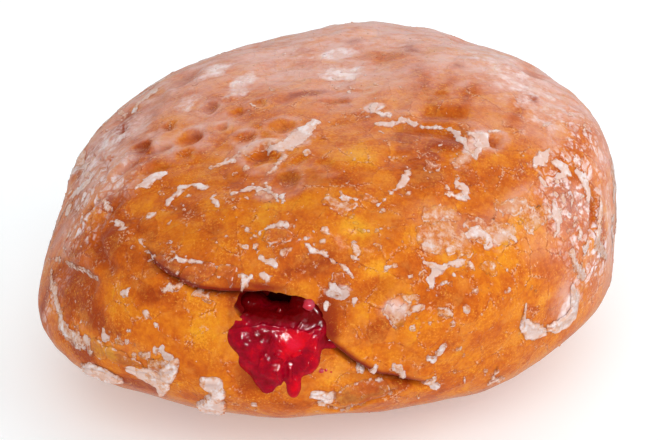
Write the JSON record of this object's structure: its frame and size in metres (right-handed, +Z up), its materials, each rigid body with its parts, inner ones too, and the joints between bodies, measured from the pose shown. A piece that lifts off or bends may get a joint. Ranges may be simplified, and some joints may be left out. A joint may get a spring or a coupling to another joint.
{
  "type": "jelly filled doughnut",
  "caption": "Glazed raised doughnut without a hole through it, lopsided and domed, filled with red fruit jelly that wells out of the fill hole in its front.",
  "frame": {"origin": "on the resting plane, under the middle of the outline", "axes": "+Z up; the fill hole and the jelly face -Y, 10 degrees towards -X; +X to the right, the higher side"},
  "size_m": [0.0958, 0.0902, 0.0468],
  "materials": {
    "crust": "fried dough under a thin cracked glaze",
    "jelly": "wet glossy fruit jelly"
  },
  "bodies": {
    "root": {"dough": "crust", "jelly": "jelly"}
  },
  "joints": []
}
